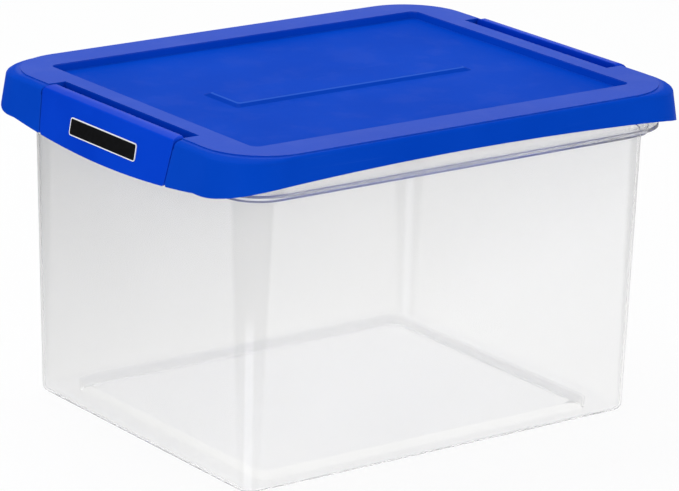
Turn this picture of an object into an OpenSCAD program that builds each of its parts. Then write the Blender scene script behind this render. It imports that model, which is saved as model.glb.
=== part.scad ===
// Portable file box: a clear drafted tub with moulded hanging-folder rails and
// a lift-off lid whose two ends carry latch flaps on living hinges.
// Millimetres. +Z is up, the tub stands on z = 0, its length runs along X and
// its width along Y. The labelled latch flap is on the -X end.

/* [Tub] */
// Outside length of the tub wall at the floor
base_l = 373; // [340:1:380]
// Outside width of the tub wall at the floor
base_w = 295; // [270:1:300]
// Height where the wall ends under the stepped rim
wall_h = 229; // [200:1:230]
// Outward lean of the walls, millimetres per millimetre of height
wall_draft = 0.033; // [0.015:0.001:0.035]
// Wall and floor thickness
wall_t = 2.2; // [1.8:0.1:2.6]
// Corner radius at the floor
base_r = 13; // [11:0.5:15]
// Corner radius at the top of the wall
wall_top_r = 25; // [20:0.5:30]
// Radius where the wall turns into the floor
floor_fillet = 6; // [4:0.5:8]
// Height of the raised middle of the floor above the standing foot
floor_rise = 8.3; // [4:0.1:10]
// Distance from the end walls to the raised middle of the floor
foot_end = 25; // [20:1:32]
// Distance from the long walls to the raised middle of the floor
foot_side = 17; // [14:1:24]
// Corner radius of the raised middle
rise_r = 12; // [8:1:20]

/* [Tub rim] */
// Height of the plain wall between the drafted wall and the lower bead
bead_rise = 2.4; // [2.2:0.1:4]
// Step from the wall out to the lower bead
bead_out = 5.5; // [4:0.5:6]
// Height of the lower bead
bead_h = 5.6; // [4.6:0.1:7]
// Length of the rim band over its outer faces
rim_l = 414; // [412:1:418]
// Width of the rim band over its outer faces
rim_w = 342; // [336:1:344]
// Corner radius of the rim band
rim_r = 42; // [38:1:46]
// Height of the rim band
rim_h = 22.1; // [20:0.1:23]
// How far the hanging rails stand above the bead floor
rail_h = 22.6; // [16:0.1:23]

/* [Lid] */
// Length over the end faces, measured where they would reach the top
lid_l = 434; // [432:1:438]
// Width over the long faces, measured where they would reach the top
lid_w = 349; // [348:1:354]
// Corner radius between those faces at the same height
lid_r = 44; // [40:1:48]
// Plate and skirt thickness of the lid
lid_t = 2.4; // [2:0.1:2.4]
// Gap between the rim and the seat of the lid
seat_gap = 0.3; // [0.2:0.1:0.4]
// Outward lean of the skirt, millimetres per millimetre of drop
skirt_flare = 0.165; // [0.15:0.005:0.18]
// Height of the small step round the lid's flat border
step_h = 1; // [0.6:0.1:1.2]
// Drop of the rounded shoulder between that step and the outer faces
shoulder_drop = 4.2; // [3:0.2:5]
// How far the shoulder reaches in from the end faces
shoulder_end = 6.6; // [5:0.2:7]
// How far the shoulder reaches in from the long faces
shoulder_side = 4; // [3:0.2:4.4]
// Corner radius of the flat border
border_r = 51; // [46:1:54]
// Skirt drop at the middle of the long sides
skirt_mid_drop = 17.6; // [15:0.1:20]
// Extra skirt drop from there to the corners
skirt_arch = 6.6; // [4:0.2:8]
// Distance from the middle where the long edge begins to sweep into the corner
skirt_sweep_x = 172; // [165:1:180]
// How fast it sweeps down there, per millimetre squared
skirt_sweep = 0.0032; // [0.002:0.0002:0.004]
// Skirt drop at the middle of the ends, under the latch flaps
skirt_end_drop = 40.4; // [39:0.1:42]
// Rise of the end edge from its middle out to the corners
skirt_end_rise = 15.1; // [12:0.1:16]
// Length of the recess in the lid top
recess_l = 359.6; // [350:0.2:364]
// Width of the recess in the lid top
recess_w = 281.2; // [270:0.2:286]
// Depth of the recess
recess_d = 6.1; // [5:0.1:7.6]
// Corner radius of the recess
recess_r = 7; // [4:0.5:12]
// Inward lean of the recess walls over their full depth
recess_lean = 1.2; // [0.4:0.1:2]
// Length of the foot of the raised panel in the recess
panel_l = 228; // [180:1:260]
// Width of the foot of the raised panel
panel_w = 47.4; // [36:0.2:60]
// Height of the raised panel
panel_h = 2.4; // [1:0.1:3]
// Run of the sloping sides of the raised panel
panel_slope = 5.2; // [2:0.2:8]
// Corner radius of the raised panel
panel_r = 3; // [2:0.5:8]
// How far the locating rib reaches down inside the rim
locator_h = 3; // [2:0.5:3.5]
// Thickness of the locating rib
locator_t = 1.8; // [1.2:0.1:2.2]
// Clearance between the locating rib and the rim
locator_gap = 0.6; // [0.4:0.1:0.8]

/* [Latch flaps] */
// Width of the slot and flap at the lid top
flap_top_w = 184.4; // [170:0.2:190]
// Width of the flap at its lower edge
flap_low_w = 173; // [165:0.2:180]
// Width of the slot behind each flap
slot_w = 11.9; // [11.3:0.1:12.5]
// Depth of the slot floor below the lid top
slot_d = 7.8; // [7.4:0.1:7.9]
// Thickness of the slot's floor and of the walls that close its ends
slot_t = 2; // [1.6:0.1:2.2]
// How far the flap lip stands above the lid top
lip_proud = 0.8; // [0.4:0.1:1.2]
// Clear gap between a flap and the skirt beside it
flap_gap = 1.2; // [0.8:0.1:1.4]
// Rounding of the flap's two upper corners
flap_corner_r = 5; // [3:0.5:6]
// Width of the small notch where the gap meets the lower edge
notch_w = 4.6; // [3:0.2:6]
// Height of that notch
notch_h = 2.6; // [2:0.2:4]
// Thickness of the flap's outer wall
flap_t = 2.2; // [1.8:0.1:2.4]
// Thickness of the flap's hinge leg
leg_t = 1.8; // [1.5:0.1:2]
// Thickness of the living hinge web
hinge_t = 0.6; // [0.4:0.1:0.8]
// Clearance at the hinge between leg and slot floor
hinge_gap = 0.4; // [0.3:0.1:0.5]
// Clearance between the catch ridge and the rim band
catch_gap = 0.4; // [0.3:0.1:0.6]
// Length of the catch ridge
catch_l = 130; // [100:1:150]
// Thickness of the catch ridge at its tip
catch_t = 1.6; // [1.2:0.1:2]
// Thickness of the catch ridge where it meets the flap
catch_root = 5.6; // [4:0.2:7]
// Thickness of the stiffening ribs inside each flap
flap_rib_t = 1.6; // [1.2:0.1:2]
// Distance between those ribs
flap_rib_pitch = 40; // [30:1:40]

/* [Label] */
// Length of the label plate
label_l = 91; // [70:1:110]
// Height of the label plate
label_h = 14; // [10:0.5:16]
// Distance of the label's middle below the lid top
label_drop = 21.2; // [15:0.2:27]
// Thickness of the label plate
label_t = 0.6; // [0.4:0.1:1]
// Corner radius of the label plate
label_r = 2.5; // [1:0.5:4]

/* [Hidden] */
skin = 0.01;
over = 4;
fine = 64;

base_hx = base_l / 2;
base_hy = base_w / 2;
wall_hx = base_hx + wall_draft * wall_h;
wall_hy = base_hy + wall_draft * wall_h;
bead_hx = wall_hx + bead_out;
bead_hy = wall_hy + bead_out;
bead_r = wall_top_r + bead_out;
bead_z = wall_h + bead_rise;
band_z = bead_z + bead_h;
rim_hx = rim_l / 2;
rim_hy = rim_w / 2;
rim_top = band_z + rim_h;
rail_top = bead_z + wall_t + rail_h;

lid_hx = lid_l / 2;
lid_hy = lid_w / 2;
slot_under = rim_top + seat_gap;
slot_floor = slot_under + slot_t;
lid_z = slot_floor + slot_d;
under_z = lid_z - lid_t;
step_z = lid_z - step_h;
skirt_low = lid_z - skirt_end_drop - 1;
recess_hx = recess_l / 2;
recess_hy = recess_w / 2;
recess_floor = lid_z - recess_d;

leg_x = rim_hx + catch_gap;
slot_x = leg_x - slot_w;
hinge_z = slot_floor + hinge_gap;
lip_z = lid_z + lip_proud;
catch_z = band_z - catch_gap - 0.1;

// Half length of the skirt at height z.
function skirt_x(z) = lid_hx + skirt_flare * (lid_z - z);

// Height on a shoulder that starts at top, after turning by a from the face.
function round_z(top, a) = top - shoulder_drop * (1 - sin(a));

// Half length there, moved in by t.
function round_x(top, a, t) = skirt_x(round_z(top, a)) - t - shoulder_end * (1 - cos(a));

// Half width of the flap at height z, moved in by gap.
function flap_half(z, gap) = flap_top_w / 2 - gap
  - (flap_top_w - flap_low_w) / 2 * (lid_z - z) / (lid_z - skirt_low);

// Rounded rectangle seen from above, given by its half sizes.
module plan(hx, hy, r) {
  square([2 * (hx - r), 2 * hy], center = true);
  square([2 * hx, 2 * (hy - r)], center = true);
  for (sx = [-1, 1]) {
    for (sy = [-1, 1]) {
      translate([sx * (hx - r), sy * (hy - r)]) circle(r, $fn = fine);
    }
  }
}

// Flat ring of one height between two rounded rectangles.
module ring(z, h, hx, hy, r, t) {
  translate([0, 0, z]) {
    linear_extrude(height = h) {
      difference() {
        plan(hx, hy, r);
        plan(hx - t, hy - t, r - t);
      }
    }
  }
}

// Drafted body through rounded rectangles listed as [z, half x, half y, r].
module drafted(levels) {
  hull() {
    for (l = levels) {
      for (sx = [-1, 1]) {
        for (sy = [-1, 1]) {
          translate([sx * (l[1] - l[3]), sy * (l[2] - l[3]), l[0]]) {
            cylinder(h = skin, r = l[3], $fn = fine);
          }
        }
      }
    }
  }
}

// Section [z, half x, half y, r] of the tub's outside, moved in by t.
function wall_level(z, t) = [
  z,
  base_hx + wall_draft * z - t,
  base_hy + wall_draft * z - t,
  base_r + (wall_top_r - base_r) * z / wall_h - t
];

// The same section where the wall curves round into the floor.
function fillet_level(a, t, r) = [
  t + r * (1 - sin(a)),
  base_hx + wall_draft * (t + r * (1 - sin(a))) - t - r * (1 - cos(a)),
  base_hy + wall_draft * (t + r * (1 - sin(a))) - t - r * (1 - cos(a)),
  base_r + (wall_top_r - base_r) * (t + r * (1 - sin(a))) / wall_h - t - r * (1 - cos(a))
];

// Ledge, bead and upright band that make the tub's rim.
module rim() {
  ring(bead_z, wall_t, bead_hx, bead_hy, bead_r, bead_out + wall_t - 0.6);
  ring(bead_z, bead_h + wall_t, bead_hx, bead_hy, bead_r, wall_t);
  translate([0, 0, band_z]) {
    linear_extrude(height = wall_t) {
      difference() {
        plan(rim_hx, rim_hy, rim_r);
        plan(bead_hx - wall_t, bead_hy - wall_t, bead_r - wall_t);
      }
    }
  }
  ring(band_z, rim_h, rim_hx, rim_hy, rim_r, wall_t);
}

// Upright rails that carry the hooks of hanging folders, on all four sides.
module rails() {
  rail_x = wall_hx - wall_t;
  rail_y = wall_hy - wall_t;
  run_x = wall_hx - wall_top_r;
  run_y = wall_hy - wall_top_r;
  for (s = [-1, 1]) {
    translate([-run_x, s * (rail_y + wall_t / 2) - wall_t / 2, wall_h]) {
      cube([2 * run_x, wall_t, rail_top - wall_h]);
    }
    translate([s * (rail_x + wall_t / 2) - wall_t / 2, -run_y, wall_h]) {
      cube([wall_t, 2 * run_y, rail_top - wall_h]);
    }
  }
}

module tub() {
  color([0.92, 0.93, 0.94, 0.35])
  difference() {
    union() {
      difference() {
        drafted([
          for (a = [90, 67.5, 45, 22.5, 0]) fillet_level(90 - a, 0, floor_fillet),
          wall_level(wall_h, 0),
          wall_level(bead_z + wall_t / 2, 0)
        ]);
        drafted([
          for (a = [90, 60, 30, 0]) fillet_level(90 - a, wall_t, floor_fillet - wall_t),
          wall_level(wall_h, wall_t),
          wall_level(bead_z + over, wall_t)
        ]);
      }
      rim();
      rails();
      // Raised middle of the floor, hollow below, with a standing foot round it.
      linear_extrude(height = floor_rise + wall_t) {
        plan(base_hx - foot_end, base_hy - foot_side, rise_r);
      }
    }
    translate([0, 0, -over]) {
      linear_extrude(height = over + floor_rise) {
        plan(base_hx - foot_end - wall_t, base_hy - foot_side - wall_t, rise_r - wall_t);
      }
    }
  }
}

// Lid section [z, half x, half y, r], moved in by t.
function lid_level(z, t) = [
  z,
  lid_hx + skirt_flare * (lid_z - z) - t,
  lid_hy + skirt_flare * (lid_z - z) - t,
  lid_r + skirt_flare * (lid_z - z) - t
];

// The same section on the rounded shoulder below top.
function shoulder_level(top, a, t) = [
  round_z(top, a),
  round_x(top, a, t),
  lid_hy + skirt_flare * (lid_z - round_z(top, a)) - t - shoulder_side * (1 - cos(a)),
  lid_r + (border_r - lid_r) * (1 - cos(a)) - t
];

// Section of the lid's recess, moved in by t.
function recess_level(z, t) = [z, recess_hx - t, recess_hy - t, recess_r - t];

// Section of the raised panel, moved in by t.
function panel_level(z, t) = [z, panel_l / 2 - t, panel_w / 2 - t, panel_r];

// Height of the skirt's lower edge along a long side, at x.
function long_edge(x) = lid_z - skirt_mid_drop - skirt_arch * pow(x / lid_hx, 2)
  - skirt_sweep * pow(max(abs(x) - skirt_sweep_x, 0), 2);

// Height of the skirt's lower edge along an end, at y.
function end_edge(y) = lid_z - skirt_end_drop + skirt_end_rise * pow(y / lid_hy, 2);

// Everything under the skirt's swept lower edge.
module under_skirt() {
  reach_x = lid_hx + 20;
  reach_y = lid_hy + 20;
  corner_y = lid_hy - 5;
  steps = 24;
  intersection() {
    rotate([90, 0, 0]) {
      linear_extrude(height = 2 * reach_y, center = true) {
        polygon(concat(
          [[reach_x, 0], [-reach_x, 0]],
          [for (i = [-steps:steps]) [i * reach_x / steps, long_edge(i * reach_x / steps)]]
        ));
      }
    }
    rotate([90, 0, 90]) {
      linear_extrude(height = 2 * reach_x, center = true) {
        polygon(concat(
          [[reach_y, 0], [-reach_y, 0], [-reach_y, lid_z - 6], [-corner_y - 6, lid_z - 6]],
          [for (i = [-steps:steps]) [i * corner_y / steps, end_edge(i * corner_y / steps)]],
          [[corner_y + 6, lid_z - 6], [reach_y, lid_z - 6]]
        ));
      }
    }
  }
}

// Outline of the flap at the +X end, tapering from top_z to the lower edge.
module flap_window(gap, x_from, z_low, top_z, r) {
  low = flap_half(z_low, gap);
  top = flap_half(top_z - r, gap) - r;
  translate([x_from, 0, 0]) {
    rotate([90, 0, 90]) {
      linear_extrude(height = lid_hx + 20 - x_from) {
        polygon(concat(
          [[-low, z_low], [low, z_low]],
          [for (a = [0:22.5:90]) [top + r * cos(a), top_z - r * (1 - sin(a))]],
          [for (a = [90:-22.5:0]) [-top - r * cos(a), top_z - r * (1 - sin(a))]]
        ));
      }
    }
  }
}

// Small notches at the lower ends of the gaps beside the flap at the +X end.
module gap_notches() {
  notch_z = end_edge(flap_low_w / 2);
  for (s = [-1, 1]) {
    translate([leg_x, s * flap_half(notch_z, flap_gap / 2), notch_z]) {
      rotate([90, 0, 90]) {
        linear_extrude(height = lid_hx + 20 - leg_x) {
          polygon([[-notch_w / 2 - 1, -1], [notch_w / 2 + 1, -1], [0, notch_h]]);
        }
      }
    }
  }
}

// Slot well behind the flap at the +X end, with the living hinge web.
module slot_well() {
  top = lid_z - lid_t / 2;
  rotate([90, 0, 0]) {
    linear_extrude(height = flap_top_w + 2 * slot_t, center = true) {
      polygon([
        [slot_x - slot_t, slot_under],
        [skirt_x(slot_under) - lid_t / 2, slot_under],
        [round_x(step_z, 0, lid_t / 2), round_z(step_z, 0)],
        [round_x(step_z, 90, lid_t / 2), top],
        [slot_x - slot_t, top]
      ]);
    }
  }
}

// Ring that rests on the rim band, with a locating rib reaching down inside it.
module seat() {
  half_t = wall_t / 2;
  inset = wall_t + locator_gap;
  ring(slot_under, under_z - slot_under + 1, rim_hx - half_t, rim_hy - half_t,
    rim_r - half_t, half_t + locator_gap + locator_t);
  ring(slot_under - locator_h, locator_h + 1, rim_hx - inset, rim_hy - inset,
    rim_r - inset, locator_t);
}

// What the slot, its hinge web and the gap beside the leg take out of the lid.
module slot_cut() {
  half = flap_top_w / 2;
  translate([slot_x, -half, slot_floor]) {
    cube([lid_hx - slot_x + over, 2 * half, lid_z - slot_floor + over]);
  }
  // Below the hinge leg the slot floor thins to the web of the living hinge.
  translate([leg_x - hinge_gap, -half, slot_under - over]) {
    cube([leg_t + hinge_gap + over, 2 * half, slot_floor - hinge_t - slot_under + over]);
  }
  translate([leg_x + leg_t, -half, slot_under - over]) {
    cube([over, 2 * half, slot_floor - slot_under + 2 * over]);
  }
}

module lid() {
  color([0.02, 0.22, 0.76])
  difference() {
    union() {
      difference() {
        drafted([
          lid_level(skirt_low, 0),
          for (a = [0:18:90]) shoulder_level(step_z - skin, a, 0)
        ]);
        drafted([
          lid_level(skirt_low - over, lid_t),
          for (a = [0:30:90]) shoulder_level(under_z - skin, a, lid_t)
        ]);
      }
      // Flat border, one small step above the shoulder.
      translate([0, 0, under_z]) {
        linear_extrude(height = lid_t) {
          plan(lid_hx - shoulder_end, lid_hy - shoulder_side, border_r);
        }
      }
      // Well that carries the recess below the lid's border.
      drafted([
        recess_level(recess_floor - lid_t, recess_lean - lid_t),
        recess_level(under_z, -lid_t)
      ]);
      for (s = [0, 1]) {
        mirror([s, 0, 0]) slot_well();
      }
      seat();
    }
    difference() {
      drafted([
        recess_level(recess_floor, recess_lean),
        recess_level(lid_z, 0)
      ]);
      // Raised plain panel with sloping sides.
      drafted([
        panel_level(recess_floor - 1, -panel_slope / panel_h),
        panel_level(recess_floor + panel_h - skin, panel_slope)
      ]);
    }
    for (s = [0, 1]) {
      mirror([s, 0, 0]) {
        slot_cut();
        flap_window(0, leg_x + leg_t, skirt_low - over, lid_z + over, 1);
        gap_notches();
      }
    }
    under_skirt();
  }
}

// Latch flap for the +X end: outer wall, top lip, hinge leg, catch and ribs.
module flap_body() {
  low_z = skirt_low - 2;
  in_top = lip_z - flap_t;
  leg_out = leg_x + leg_t;
  difference() {
    intersection() {
      union() {
        rotate([90, 0, 0]) {
          linear_extrude(height = 2 * lid_hy, center = true) {
            polygon(concat(
              [[skirt_x(low_z), low_z]],
              [for (a = [0:18:90]) [round_x(lip_z, a, 0), round_z(lip_z, a)]],
              [for (a = [90:-30:0]) [leg_x + leg_t / 2 * (1 - cos(a)), lip_z - leg_t / 2 * (1 - sin(a))]],
              [
                [leg_x, hinge_z],
                [leg_out, hinge_z],
                [leg_out, in_top]
              ],
              [for (a = [60:-20:0]) [round_x(in_top, a, flap_t), round_z(in_top, a)]],
              [[skirt_x(low_z) - flap_t, low_z]]
            ));
          }
        }
        rotate([90, 0, 0]) {
          linear_extrude(height = catch_l, center = true) {
            polygon([
              [skirt_x(catch_z) - 1, catch_z],
              [leg_x, catch_z],
              [leg_x, catch_z - catch_t],
              [skirt_x(catch_z - catch_root) - 1, catch_z - catch_root]
            ]);
          }
        }
        for (i = [-1.5, -0.5, 0.5, 1.5]) {
          translate([0, i * flap_rib_pitch, 0]) {
            rotate([90, 0, 0]) {
              linear_extrude(height = flap_rib_t, center = true) {
                polygon(concat(
                  [
                    [skirt_x(catch_z - 1) - 1, catch_z - 1],
                    [leg_out + hinge_gap, catch_z - 1],
                    [leg_out + hinge_gap, hinge_z],
                    [leg_out - 1, hinge_z + leg_t + 1],
                    [leg_out - 1, in_top + 0.8]
                  ],
                  [for (a = [60:-20:0]) [round_x(in_top, a, flap_t - 0.8), round_z(in_top, a) + 0.8]]
                ));
              }
            }
          }
        }
      }
      flap_window(flap_gap, leg_x - 1, low_z, lip_z, flap_corner_r);
    }
    under_skirt();
    gap_notches();
  }
}

module latch_flap_left() {
  color([0.01, 0.19, 0.76])
  mirror([1, 0, 0]) flap_body();
}

module latch_flap_right() {
  color([0.01, 0.19, 0.76])
  flap_body();
}

// Plain label plate, laid on the leaning outer face of the left flap.
module label_plate() {
  mid_z = lid_z - label_drop;
  color([0.02, 0.02, 0.025])
  translate([-skirt_x(mid_z) - 0.02, 0, mid_z]) {
    rotate([0, atan(skirt_flare), 0]) {
      rotate([90, 0, -90]) {
        linear_extrude(height = label_t) plan(label_l / 2, label_h / 2, label_r);
      }
    }
  }
}

tub();
lid();
latch_flap_left();
latch_flap_right();
label_plate();
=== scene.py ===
import math

import bpy
from mathutils import Matrix, Vector


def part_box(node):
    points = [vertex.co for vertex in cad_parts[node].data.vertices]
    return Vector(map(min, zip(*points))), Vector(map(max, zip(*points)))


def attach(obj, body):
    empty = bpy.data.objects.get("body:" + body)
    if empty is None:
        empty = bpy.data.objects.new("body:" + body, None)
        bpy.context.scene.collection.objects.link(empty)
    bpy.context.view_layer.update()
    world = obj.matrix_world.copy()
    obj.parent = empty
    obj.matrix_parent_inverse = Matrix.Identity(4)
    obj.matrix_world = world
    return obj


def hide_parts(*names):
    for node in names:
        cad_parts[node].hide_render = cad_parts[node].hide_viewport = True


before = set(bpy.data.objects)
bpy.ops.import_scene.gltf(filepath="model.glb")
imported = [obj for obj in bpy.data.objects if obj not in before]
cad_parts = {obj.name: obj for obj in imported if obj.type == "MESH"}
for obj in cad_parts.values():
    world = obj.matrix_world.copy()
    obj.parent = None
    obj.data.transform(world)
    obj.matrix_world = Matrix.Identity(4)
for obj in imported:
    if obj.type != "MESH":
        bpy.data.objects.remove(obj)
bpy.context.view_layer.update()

# Studio: a long-lens view of the labelled end and one long side, a pale table
# and three soft boxes. The background is white to the eye and grey to the lamps.
bpy.context.scene.view_settings.view_transform = "Standard"

# The lens is held as its length in pixels of a frame 679 pixels wide.
focal_pixels = 4034.65
frame_pixels = 679.0
film_width = 36.0
camera_data = bpy.data.cameras.new("camera")
camera_data.sensor_fit = "HORIZONTAL"
camera_data.sensor_width = film_width
camera_data.lens = film_width * focal_pixels / frame_pixels
camera_data.clip_end = 20.0
camera = bpy.data.objects.new("camera", camera_data)
bpy.context.scene.collection.objects.link(camera)
camera.matrix_world = Matrix((
    (0.807949, 0.152766, -0.569105, -1.821717),
    (-0.588769, 0.248372, -0.769196, -2.467744),
    (0.023843, 0.956543, 0.290616, 1.060637),
    (0.0, 0.0, 0.0, 1.0),
))
bpy.context.scene.camera = camera

world = bpy.data.worlds.new("studio")
bpy.context.scene.world = world
world.use_nodes = True
world_nodes = world.node_tree.nodes
world_links = world.node_tree.links
world_nodes.clear()
world_out = world_nodes.new("ShaderNodeOutputWorld")
room = world_nodes.new("ShaderNodeBackground")
room.inputs["Color"].default_value = (0.86, 0.88, 0.92, 1)
room.inputs["Strength"].default_value = 0.55
backdrop = world_nodes.new("ShaderNodeBackground")
backdrop.inputs["Color"].default_value = (1, 1, 1, 1)
backdrop.inputs["Strength"].default_value = 1.0
seen_from = world_nodes.new("ShaderNodeLightPath")
seen_direct = world_nodes.new("ShaderNodeMath")
seen_direct.operation = "MAXIMUM"
seen = world_nodes.new("ShaderNodeMath")
seen.operation = "MAXIMUM"
seen_mix = world_nodes.new("ShaderNodeMixShader")
world_links.new(seen_from.outputs["Is Camera Ray"], seen_direct.inputs[0])
world_links.new(seen_from.outputs["Is Transmission Ray"], seen_direct.inputs[1])
world_links.new(seen_direct.outputs["Value"], seen.inputs[0])
world_links.new(seen_from.outputs["Is Glossy Ray"], seen.inputs[1])
world_links.new(seen.outputs["Value"], seen_mix.inputs["Fac"])
world_links.new(room.outputs["Background"], seen_mix.inputs[1])
world_links.new(backdrop.outputs["Background"], seen_mix.inputs[2])
world_links.new(seen_mix.outputs["Shader"], world_out.inputs["Surface"])


def soft_box(name, place, aim, size, power):
    lamp = bpy.data.lights.new(name, "AREA")
    lamp.shape = "RECTANGLE"
    lamp.size = size[0]
    lamp.size_y = size[1]
    lamp.energy = power
    box = bpy.data.objects.new(name, lamp)
    bpy.context.scene.collection.objects.link(box)
    box.location = place
    turn = (Vector(aim) - Vector(place)).to_track_quat("-Z", "Y")
    box.rotation_mode = "QUATERNION"
    box.rotation_quaternion = turn


soft_box("overhead_box", (0.1, 0.9, 2.1), (0, 0, 0.2), (2.2, 1.4), 26)
soft_box("left_box", (-2.2, -0.6, 1.0), (0, 0, 0.15), (1.4, 1.4), 16)
soft_box("front_box", (0.6, -2.6, 1.1), (0, 0, 0.15), (1.6, 1.4), 19)

table_width = 14
table_drop = 0.0005
# Painted shade in the table's glow, per metre across the table.
table_painted_shade_per_metre = (0.32, -0.62, 0.0)
table_glow_share = 0.93
bpy.ops.object.select_all(action="DESELECT")
bpy.ops.mesh.primitive_plane_add(size=table_width, location=(0, 0, -table_drop))
table = bpy.context.object
table.name = "table"
table_paint = bpy.data.materials.new("table_paint")
table_paint.use_nodes = True
table_nodes = table_paint.node_tree.nodes
table_links = table_paint.node_tree.links
table_nodes.clear()
table_out = table_nodes.new("ShaderNodeOutputMaterial")
table_diffuse = table_nodes.new("ShaderNodeBsdfDiffuse")
table_diffuse.inputs["Color"].default_value = (0.9, 0.9, 0.9, 1)
table_glow = table_nodes.new("ShaderNodeEmission")
table_glow.inputs["Strength"].default_value = 1.0
# Seen through the tub and in reflections, the table's glow carries a painted shade, darker towards the
# back and the left.
table_place = table_nodes.new("ShaderNodeTexCoord")
table_painted_shade = table_nodes.new("ShaderNodeVectorMath")
table_painted_shade.operation = "DOT_PRODUCT"
table_painted_shade.inputs[1].default_value = table_painted_shade_per_metre
table_tone = table_nodes.new("ShaderNodeMath")
table_tone.operation = "ADD"
table_tone.use_clamp = True
table_tone.inputs[1].default_value = 1.0
table_white = table_nodes.new("ShaderNodeMath")
table_white.operation = "MAXIMUM"
table_links.new(table_place.outputs["Object"], table_painted_shade.inputs[0])
table_links.new(table_painted_shade.outputs["Value"], table_tone.inputs[0])
table_links.new(table_tone.outputs["Value"], table_white.inputs[0])
table_links.new(table_white.outputs["Value"], table_glow.inputs["Color"])
table_path = table_nodes.new("ShaderNodeLightPath")
table_seen = table_nodes.new("ShaderNodeMath")
table_seen.operation = "MAXIMUM"
table_through = table_nodes.new("ShaderNodeMath")
table_through.operation = "MAXIMUM"
table_share = table_nodes.new("ShaderNodeMath")
table_share.operation = "MULTIPLY"
table_share.inputs[1].default_value = table_glow_share
table_mix = table_nodes.new("ShaderNodeMixShader")
table_links.new(table_path.outputs["Is Camera Ray"], table_share.inputs[0])
table_links.new(table_path.outputs["Is Camera Ray"], table_white.inputs[1])
table_links.new(table_share.outputs["Value"], table_seen.inputs[0])
table_links.new(table_path.outputs["Is Transmission Ray"], table_through.inputs[0])
table_links.new(table_path.outputs["Is Glossy Ray"], table_through.inputs[1])
table_links.new(table_through.outputs["Value"], table_seen.inputs[1])
table_links.new(table_seen.outputs["Value"], table_mix.inputs["Fac"])
table_links.new(table_diffuse.outputs["BSDF"], table_mix.inputs[1])
table_links.new(table_glow.outputs["Emission"], table_mix.inputs[2])
table_links.new(table_mix.outputs["Shader"], table_out.inputs["Surface"])
table.data.materials.append(table_paint)

# Tub: one injection moulding in clear, slightly milky polypropylene. Drafted
# walls, a rounded base, and a stepped rim with the hanging rails inside it.
STEP_ROUND = 0.005


def moulded_skin(node, edge_radius, segments, steps=(), crease=28):
    """The CAD solid's surface as one welded mesh.

    Edges that turn by more than crease degrees are eased by edge_radius. Each step
    names a level, half sizes and a share: the edges that lie on that level within the
    half sizes are first rounded by that share of STEP_ROUND.
    """
    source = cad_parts[node]
    skin = bpy.data.objects.new(node + "_skin", source.data.copy())
    bpy.context.scene.collection.objects.link(skin)
    bpy.ops.object.select_all(action="DESELECT")
    skin.select_set(True)
    bpy.context.view_layer.objects.active = skin
    skin.data.materials.clear()
    bpy.ops.object.mode_set(mode="EDIT")
    bpy.ops.mesh.select_all(action="SELECT")
    bpy.ops.mesh.customdata_custom_splitnormals_clear()
    bpy.ops.mesh.remove_doubles(threshold=0.00001)
    bpy.ops.mesh.dissolve_limited(angle_limit=math.radians(0.3))
    bpy.ops.object.mode_set(mode="OBJECT")
    if steps:
        points = skin.data.vertices
        weights = skin.data.attributes.new("bevel_weight_edge", "FLOAT", "EDGE")
        for edge in skin.data.edges:
            ends = [points[i].co for i in edge.vertices]
            for level, half_x, half_y, share in steps:
                on_level = all(abs(end.z - level) < 0.0001 for end in ends)
                if on_level and all(abs(end.x) < half_x and abs(end.y) < half_y for end in ends):
                    weights.data[edge.index].value = share
        round_off = skin.modifiers.new("rounded_steps", "BEVEL")
        round_off.width = STEP_ROUND
        round_off.segments = 5
        round_off.limit_method = "WEIGHT"
        bpy.ops.object.modifier_apply(modifier=round_off.name)
    if edge_radius > 0:
        ease = skin.modifiers.new("eased_edges", "BEVEL")
        ease.width = edge_radius
        ease.segments = segments
        ease.limit_method = "ANGLE"
        ease.angle_limit = math.radians(crease)
        ease.use_clamp_overlap = True
        ease.harden_normals = False
        bpy.ops.object.modifier_apply(modifier=ease.name)
    bpy.ops.object.shade_smooth_by_angle(angle=math.radians(32))
    # Large flat faces keep their own normals, so that they shade and refract flat.
    flat = skin.modifiers.new("flat_faces", "WEIGHTED_NORMAL")
    flat.mode = "FACE_AREA"
    flat.weight = 100
    flat.keep_sharp = True
    bpy.ops.object.modifier_apply(modifier=flat.name)
    return skin


def add_node(tree, kind, **settings):
    """A new shader node, with its plain settings given by name."""
    made = tree.nodes.new(kind)
    for name, value in settings.items():
        setattr(made, name, value)
    return made


def feed(tree, value, socket):
    """Link a node's output to a socket, or set the socket to a number."""
    if hasattr(value, "is_output"):
        tree.links.new(value, socket)
    else:
        socket.default_value = value


def maths(tree, operation, a, b=0.0):
    made = add_node(tree, "ShaderNodeMath", operation=operation)
    feed(tree, a, made.inputs[0])
    feed(tree, b, made.inputs[1])
    return made.outputs["Value"]


def ramp(tree, value, low, high, to_low=0.0, to_high=1.0):
    """Value taken from low..high to to_low..to_high, with soft ends."""
    made = add_node(tree, "ShaderNodeMapRange", interpolation_type="SMOOTHSTEP")
    feed(tree, value, made.inputs["Value"])
    feed(tree, low, made.inputs["From Min"])
    feed(tree, high, made.inputs["From Max"])
    feed(tree, to_low, made.inputs["To Min"])
    feed(tree, to_high, made.inputs["To Max"])
    return made.outputs["Result"]


def cloud(tree, place, scale, detail, roughness=0.5):
    made = add_node(tree, "ShaderNodeTexNoise")
    tree.links.new(place, made.inputs["Vector"])
    made.inputs["Scale"].default_value = scale
    made.inputs["Detail"].default_value = detail
    made.inputs["Roughness"].default_value = roughness
    return made.outputs["Fac"]


def stretched(tree, place, turn, scale):
    """The place vector turned and stretched, for streaks and hairlines."""
    made = add_node(tree, "ShaderNodeMapping")
    tree.links.new(place, made.inputs["Vector"])
    made.inputs["Rotation"].default_value = turn
    made.inputs["Scale"].default_value = scale
    return made.outputs["Vector"]


def blend_colour(tree, share, first, second):
    made = add_node(tree, "ShaderNodeMix", data_type="RGBA")
    feed(tree, share, made.inputs["Factor"])
    feed(tree, first, made.inputs[6])
    feed(tree, second, made.inputs[7])
    return made.outputs[2]


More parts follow.
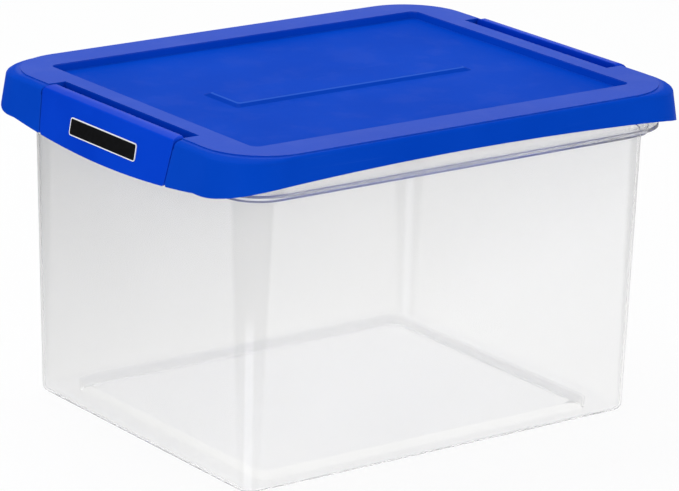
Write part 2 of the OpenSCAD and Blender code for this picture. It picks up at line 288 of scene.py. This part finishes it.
def new_group(name, inputs, outputs):
    """A shader node group with named float inputs and outputs, and its two end nodes."""
    group = bpy.data.node_groups.new(name, "ShaderNodeTree")
    for label, value in inputs:
        socket = group.interface.new_socket(name=label, in_out="INPUT", socket_type="NodeSocketFloat")
        socket.default_value = value
    for label in outputs:
        group.interface.new_socket(name=label, in_out="OUTPUT", socket_type="NodeSocketFloat")
    return group, group.nodes.new("NodeGroupInput"), group.nodes.new("NodeGroupOutput")


# Hairline scuffs from handling, as a mask: three sets of long thin streaks
# broken up by patches. Amount thins or thickens them.
scuffs, scuffs_in, scuffs_out = new_group("handling_scuffs", [("Amount", 0.5)], ["Mask"])
scuffs_place = scuffs.nodes.new("ShaderNodeTexCoord").outputs["Object"]
scuffs_patch = ramp(scuffs, cloud(scuffs, scuffs_place, 11.0, 3.0), 0.48, 0.68)
scuffs_sum = 0.0
for scuff_turn in ((0.0, 0.0, 0.42), (0.3, 0.2, -0.75), (0.9, -0.4, 1.5)):
    scuff_lines = cloud(scuffs, stretched(scuffs, scuffs_place, scuff_turn, (9.0, 900.0, 900.0)), 1.0, 1.0)
    scuffs_sum = maths(scuffs, "MAXIMUM", ramp(scuffs, scuff_lines, 0.66, 0.72), scuffs_sum)
scuffs_thin = maths(scuffs, "MULTIPLY", scuffs_sum, scuffs_patch)
scuffs.links.new(
    maths(scuffs, "MULTIPLY", scuffs_thin, scuffs_in.outputs["Amount"]),
    scuffs_out.inputs["Mask"],
)

# Wear and a painted highlight along outer edges, as a mask: where the normal rounded over Width leaves the
# true normal, broken up by noise.
wear_and_highlight, wear_and_highlight_in, wear_and_highlight_out = new_group("edge_wear_and_highlight", [("Width", 0.0008)], ["Mask"])
wear_and_highlight_round = add_node(wear_and_highlight, "ShaderNodeBevel", samples=4)
wear_and_highlight.links.new(wear_and_highlight_in.outputs["Width"], wear_and_highlight_round.inputs["Radius"])
wear_and_highlight_true = wear_and_highlight.nodes.new("ShaderNodeNewGeometry").outputs["Normal"]
wear_and_highlight_dot = add_node(wear_and_highlight, "ShaderNodeVectorMath", operation="DOT_PRODUCT")
wear_and_highlight.links.new(wear_and_highlight_round.outputs["Normal"], wear_and_highlight_dot.inputs[0])
wear_and_highlight.links.new(wear_and_highlight_true, wear_and_highlight_dot.inputs[1])
wear_and_highlight_edge = ramp(wear_and_highlight, wear_and_highlight_dot.outputs["Value"], 0.998, 0.95)
wear_and_highlight_place = wear_and_highlight.nodes.new("ShaderNodeTexCoord").outputs["Object"]
wear_and_highlight_break = ramp(wear_and_highlight, cloud(wear_and_highlight, wear_and_highlight_place, 90.0, 4.0, 0.6), 0.36, 0.62, 0.25, 1.0)
wear_and_highlight.links.new(maths(wear_and_highlight, "MULTIPLY", wear_and_highlight_edge, wear_and_highlight_break), wear_and_highlight_out.inputs["Mask"])

# The raised middle of the floor rises in a soft step, above it and in the hollow
# below. Its half sizes are taken just wide enough to hold each step's edges.
raised_half = (0.163, 0.132)
hollow_half = (0.161, 0.130)
tub = moulded_skin("tub", 0.0004, 2, (
    (0.0105, *raised_half, 1.0),
    (0.0022, *raised_half, 0.55),
    (0.0083, *hollow_half, 0.55),
    (0.0, *hollow_half, 1.0),
))
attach(tub, "tub")
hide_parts("tub")

clear_pp = bpy.data.materials.new("clear_polypropylene")
clear_pp.use_nodes = True
clear_tree = clear_pp.node_tree
clear = clear_tree.nodes["Principled BSDF"]
clear.inputs["Transmission Weight"].default_value = 0.9
clear.inputs["IOR"].default_value = 1.04
clear_place = clear_tree.nodes.new("ShaderNodeTexCoord").outputs["Object"]
clear_haze = ramp(clear_tree, cloud(clear_tree, clear_place, 7.0, 3.0), 0.35, 0.65)
clear_scuff = add_node(clear_tree, "ShaderNodeGroup", node_tree=scuffs)
clear_scuff.inputs["Amount"].default_value = 0.15
clear_wear_and_highlight = add_node(clear_tree, "ShaderNodeGroup", node_tree=wear_and_highlight)
clear_wear_and_highlight.inputs["Width"].default_value = 0.0012
clear_tone = blend_colour(
    clear_tree, clear_haze, (0.97, 0.969, 0.965, 1), (0.98, 0.979, 0.975, 1)
)
# The rounded upright corners get a painted shade that deepens with height, and a painted highlight as a
# clear line down the middle of the lower half. Their centre lines lean in as the radius grows with height.
corner_centre_x = 0.1735
corner_centre_y = 0.1345
corner_lean_rate = 0.0194
clear_axes = add_node(clear_tree, "ShaderNodeSeparateXYZ")
clear_tree.links.new(clear_place, clear_axes.inputs["Vector"])
corner_lean = maths(clear_tree, "MULTIPLY", clear_axes.outputs["Z"], corner_lean_rate)
corner_u = maths(clear_tree, "ADD", maths(clear_tree, "ABSOLUTE", clear_axes.outputs["X"]), corner_lean)
corner_u = maths(clear_tree, "SUBTRACT", corner_u, corner_centre_x)
corner_v = maths(clear_tree, "ADD", maths(clear_tree, "ABSOLUTE", clear_axes.outputs["Y"]), corner_lean)
corner_v = maths(clear_tree, "SUBTRACT", corner_v, corner_centre_y)
corner_zone = ramp(clear_tree, maths(clear_tree, "MINIMUM", corner_u, corner_v), 0.0, 0.003)
corner_side = maths(clear_tree, "ABSOLUTE", maths(clear_tree, "SUBTRACT", corner_u, corner_v))
corner_painted_highlight = ramp(clear_tree, corner_side, 0.006, 0.003)
corner_low = ramp(clear_tree, clear_axes.outputs["Z"], 0.15, 0.11)
corner_painted_highlight = maths(clear_tree, "MULTIPLY", corner_painted_highlight, corner_low)
corner_shade_climb = ramp(clear_tree, clear_axes.outputs["Z"], 0.0, 0.2, 0.3, 1.0)
corner_painted_shade = maths(clear_tree, "MULTIPLY", corner_zone, corner_shade_climb)
# Painted shade on the corners, deeper towards the top.
clear_tone = blend_colour(clear_tree, corner_painted_shade, clear_tone, (0.89, 0.889, 0.885, 1))
# Painted highlight down the middle of each corner's lower half.
clear_tone = blend_colour(
    clear_tree, maths(clear_tree, "MULTIPLY", corner_zone, corner_painted_highlight), clear_tone, (1, 1, 1, 1)
)
# The outer edges are whitened, partly as wear and partly as a painted highlight.
clear_tree.links.new(
    blend_colour(clear_tree, clear_wear_and_highlight.outputs["Mask"], clear_tone, (1, 1, 1, 1)),
    clear.inputs["Base Color"],
)
clear_rough = ramp(clear_tree, clear_haze, 0.0, 1.0, 0.15, 0.19)
clear_rough = maths(
    clear_tree, "ADD", clear_rough, maths(clear_tree, "MULTIPLY", clear_scuff.outputs["Mask"], 0.22)
)
clear_tree.links.new(clear_rough, clear.inputs["Roughness"])
# Long shallow flow waves of the moulding, and a trace of fine grain.
clear_wave = cloud(
    clear_tree, stretched(clear_tree, clear_place, (0.0, 0.0, 0.0), (5.0, 5.0, 1.6)), 3.0, 2.0
)
clear_grain = cloud(clear_tree, clear_place, 700.0, 2.0)
clear_height = maths(
    clear_tree, "ADD",
    maths(clear_tree, "MULTIPLY", clear_wave, 0.9),
    maths(clear_tree, "MULTIPLY", clear_grain, 0.01),
)
clear_bump = add_node(clear_tree, "ShaderNodeBump")
clear_bump.inputs["Strength"].default_value = 0.12
clear_bump.inputs["Distance"].default_value = 0.002
clear_tree.links.new(clear_height, clear_bump.inputs["Height"])
clear_tree.links.new(clear_bump.outputs["Normal"], clear.inputs["Normal"])
tub.data.materials.append(clear_pp)

# Lid: one moulding in blue polypropylene with a satin, finely spark-grained
# face, a recessed top with a raised plain panel, and a flared skirt.
lid = moulded_skin("lid", 0.0005, 2, crease=16)
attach(lid, "lid")
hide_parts("lid")

# Satin moulded face: Tone drifts over the part, Grain is the fine spark finish
# for the bump, and Gloss is how rubbed and shiny a place is.
satin, satin_in, satin_out = new_group(
    "satin_moulding", [("Grain Size", 0.0011)], ["Tone", "Grain", "Gloss"]
)
satin_place = satin.nodes.new("ShaderNodeTexCoord").outputs["Object"]
satin_tone = ramp(satin, cloud(satin, satin_place, 9.0, 4.0), 0.34, 0.66)
satin_scale = maths(satin, "DIVIDE", 1.0, satin_in.outputs["Grain Size"])
satin_fine = add_node(satin, "ShaderNodeTexNoise")
satin.links.new(satin_place, satin_fine.inputs["Vector"])
satin.links.new(satin_scale, satin_fine.inputs["Scale"])
satin_fine.inputs["Detail"].default_value = 2.5
satin_fine.inputs["Roughness"].default_value = 0.62
satin.links.new(satin_tone, satin_out.inputs["Tone"])
satin.links.new(satin_fine.outputs["Fac"], satin_out.inputs["Grain"])
satin.links.new(
    ramp(satin, cloud(satin, satin_place, 26.0, 5.0, 0.6), 0.42, 0.7), satin_out.inputs["Gloss"]
)


def blue_plastic(name, dark, light, wear_and_highlight_tone, matt, shiny):
    """Satin blue moulding: its two tones, a tone for worn edges and painted highlights, and roughness
    range.
    """
    made = bpy.data.materials.new(name)
    made.use_nodes = True
    tree = made.node_tree
    shade = tree.nodes["Principled BSDF"]
    face = add_node(tree, "ShaderNodeGroup", node_tree=satin)
    scuffed = add_node(tree, "ShaderNodeGroup", node_tree=scuffs)
    edges = add_node(tree, "ShaderNodeGroup", node_tree=wear_and_highlight)
    tone = blend_colour(tree, face.outputs["Tone"], dark, light)
    # The border on top is rubbed smoother and paler than the sunk face.
    height = add_node(tree, "ShaderNodeSeparateXYZ")
    tree.links.new(tree.nodes.new("ShaderNodeTexCoord").outputs["Object"], height.inputs["Vector"])
    border_z = 0.2680
    border = ramp(tree, height.outputs["Z"], border_z - 0.0004, border_z + 0.0004)
    # The sloping sides of the lid's raised panel get a painted shade at the foot and a painted highlight
    # along the top.
    panel_reach_x = 0.125
    panel_reach_y = 0.035
    painted_shade_top_z = 0.2648
    painted_highlight_z = 0.2649
    facing = add_node(tree, "ShaderNodeSeparateXYZ")
    tree.links.new(tree.nodes.new("ShaderNodeNewGeometry").outputs["Normal"], facing.inputs["Vector"])
    slope = ramp(tree, facing.outputs["Z"], 0.995, 0.965)
    near_x = maths(tree, "ABSOLUTE", height.outputs["X"])
    near_x = ramp(tree, near_x, panel_reach_x + 0.001, panel_reach_x - 0.001)
    near_y = maths(tree, "ABSOLUTE", height.outputs["Y"])
    near_y = ramp(tree, near_y, panel_reach_y + 0.001, panel_reach_y - 0.001)
    slope = maths(tree, "MULTIPLY", slope, maths(tree, "MULTIPLY", near_x, near_y))
    panel_painted_shade = ramp(tree, height.outputs["Z"], painted_shade_top_z + 0.0002, painted_shade_top_z - 0.0002, 0.0, 0.32)
    panel_painted_shade = maths(tree, "MULTIPLY", slope, panel_painted_shade)
    panel_painted_highlight = ramp(tree, height.outputs["Z"], painted_highlight_z - 0.0002, painted_highlight_z + 0.0002, 0.0, 0.9)
    panel_painted_highlight = maths(tree, "MULTIPLY", slope, panel_painted_highlight)
    # Painted shade at the foot of the slopes.
    tone = blend_colour(tree, panel_painted_shade, tone, (0.0, 0.018, 0.24, 1))
    # Painted highlight along the top of the slopes.
    tone = blend_colour(tree, panel_painted_highlight, tone, wear_and_highlight_tone)
    # Edges take the worn tone, partly as wear and partly as a painted highlight.
    tone = blend_colour(tree, maths(tree, "MULTIPLY", edges.outputs["Mask"], 0.45), tone, wear_and_highlight_tone)
    tone = blend_colour(tree, maths(tree, "MULTIPLY", scuffed.outputs["Mask"], 0.3), tone, wear_and_highlight_tone)
    tree.links.new(tone, shade.inputs["Base Color"])
    shine = maths(tree, "MULTIPLY_ADD", border, 0.19)
    tree.links.new(ramp(tree, face.outputs["Gloss"], 0.0, 1.0, 0.0045, 0.0065), shine.node.inputs[2])
    tree.links.new(shine, shade.inputs["Coat Weight"])
    shade.inputs["Coat Roughness"].default_value = 0.3
    rough = ramp(tree, face.outputs["Gloss"], 0.0, 1.0, matt, (matt + shiny) / 2)
    rough = maths(tree, "SUBTRACT", rough, maths(tree, "MULTIPLY", border, (matt - shiny) / 2))
    rough = maths(tree, "ADD", rough, maths(tree, "MULTIPLY", scuffed.outputs["Mask"], 0.1))
    tree.links.new(rough, shade.inputs["Roughness"])
    bump = add_node(tree, "ShaderNodeBump")
    bump.inputs["Strength"].default_value = 0.3
    bump.inputs["Distance"].default_value = 0.00012
    tree.links.new(face.outputs["Grain"], bump.inputs["Height"])
    tree.links.new(bump.outputs["Normal"], shade.inputs["Normal"])
    shade.inputs["Specular IOR Level"].default_value = 0.006
    return made


lid.data.materials.append(blue_plastic(
    "blue_lid_plastic", (0.0, 0.052, 0.49, 1), (0.001, 0.058, 0.52, 1), (0.03, 0.11, 0.56, 1), 0.5, 0.34
))

# Latch flaps: moulded with the lid, each hanging from a thin hinge web behind
# its top lip, with a catch ridge and ribs on the inside.
flap_plastic = blue_plastic(
    "blue_flap_plastic", (0.0, 0.042, 0.53, 1), (0.001, 0.052, 0.59, 1), (0.02, 0.09, 0.6, 1), 0.46, 0.3
)
for side in ("left", "right"):
    flap = moulded_skin("latch_flap_" + side, 0.0004, 2)
    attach(flap, side + "_latch")
    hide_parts("latch_flap_" + side)
    flap.data.materials.append(flap_plastic)

# Label plate: a thin dark plate with a plain white border, set on the outer
# face of the left flap and left bare.
label = moulded_skin("label_plate", 0.0, 1)
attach(label, "left_latch")
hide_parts("label_plate")

label_low, label_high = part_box("label_plate")
label_half_y = (label_high[1] - label_low[1]) / 2
label_half_z = (label_high[2] - label_low[2]) / 2
label_mid_z = (label_high[2] + label_low[2]) / 2
label_corner = 0.0025
label_border = 0.0009
label_print = bpy.data.materials.new("black_label")
label_print.use_nodes = True
label_tree = label_print.node_tree
label_shade = label_tree.nodes["Principled BSDF"]
label_place = label_tree.nodes.new("ShaderNodeTexCoord").outputs["Object"]
label_axes = add_node(label_tree, "ShaderNodeSeparateXYZ")
label_tree.links.new(label_place, label_axes.inputs["Vector"])
# Distance inside the plate's rounded outline, for the border.
label_u = maths(label_tree, "ABSOLUTE", label_axes.outputs["Y"])
label_u = maths(label_tree, "MAXIMUM", maths(label_tree, "SUBTRACT", label_u, label_half_y - label_corner))
label_v = maths(label_tree, "SUBTRACT", label_axes.outputs["Z"], label_mid_z)
label_v = maths(label_tree, "ABSOLUTE", label_v)
label_v = maths(label_tree, "MAXIMUM", maths(label_tree, "SUBTRACT", label_v, label_half_z - label_corner))
label_out = maths(
    label_tree, "SQRT",
    maths(label_tree, "ADD", maths(label_tree, "MULTIPLY", label_u, label_u),
          maths(label_tree, "MULTIPLY", label_v, label_v)),
)
label_line = ramp(
    label_tree, label_out, label_corner - label_border - 0.0001, label_corner - label_border + 0.0001
)
label_speck = ramp(label_tree, cloud(label_tree, label_place, 300.0, 3.0), 0.3, 0.7)
label_black = blend_colour(label_tree, label_speck, (0.003, 0.003, 0.0035, 1), (0.005, 0.005, 0.006, 1))
label_white = blend_colour(label_tree, label_speck, (0.8, 0.8, 0.8, 1), (0.9, 0.9, 0.9, 1))
label_tree.links.new(
    blend_colour(label_tree, label_line, label_black, label_white), label_shade.inputs["Base Color"]
)
label_scuff = add_node(label_tree, "ShaderNodeGroup", node_tree=scuffs)
label_scuff.inputs["Amount"].default_value = 0.2
label_tree.links.new(
    maths(label_tree, "ADD", ramp(label_tree, label_speck, 0.0, 1.0, 0.33, 0.37),
          maths(label_tree, "MULTIPLY", label_scuff.outputs["Mask"], 0.2)),
    label_shade.inputs["Roughness"],
)
label_shade.inputs["Specular IOR Level"].default_value = 0.04
label_bump = add_node(label_tree, "ShaderNodeBump")
label_bump.inputs["Strength"].default_value = 0.05
label_bump.inputs["Distance"].default_value = 0.0001
label_tree.links.new(cloud(label_tree, label_place, 900.0, 2.0), label_bump.inputs["Height"])
label_tree.links.new(label_bump.outputs["Normal"], label_shade.inputs["Normal"])
label.data.materials.append(label_print)
